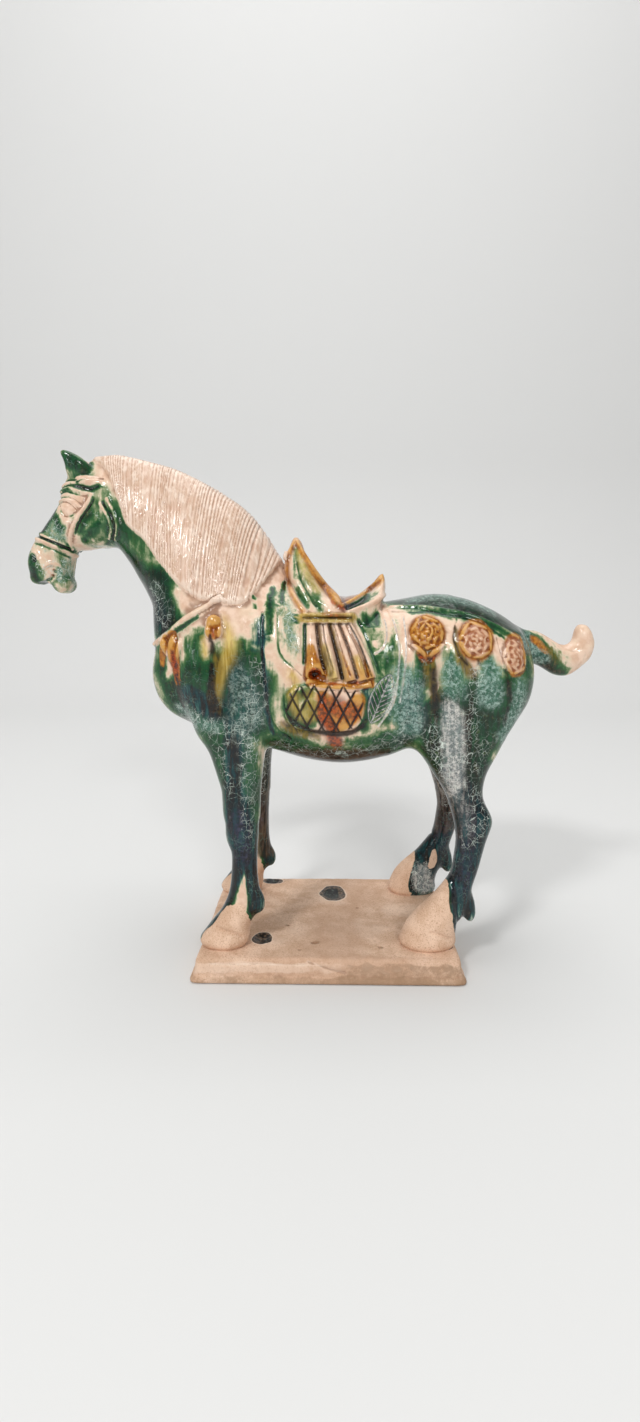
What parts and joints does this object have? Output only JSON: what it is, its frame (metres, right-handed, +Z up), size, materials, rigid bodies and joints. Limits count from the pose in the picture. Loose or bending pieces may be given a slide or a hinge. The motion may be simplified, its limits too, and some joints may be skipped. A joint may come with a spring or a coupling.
{
  "type": "sancai horse figure",
  "caption": "Standing saddled horse in splashed lead-glazed earthenware, moulded in one, on a flat slab of bare clay that it stands on by its own weight.",
  "frame": {"origin": "middle of the slab's underside, on the surface that the figure stands on", "axes": "+Z up, the horse faces -X, its left flank is towards -Y"},
  "size_m": [0.2529, 0.087, 0.2202],
  "materials": {
    "glaze": "gloss",
    "bare_clay": "matte"
  },
  "bodies": {
    "root": {"horse": "glaze", "base": "bare_clay"}
  },
  "joints": []
}
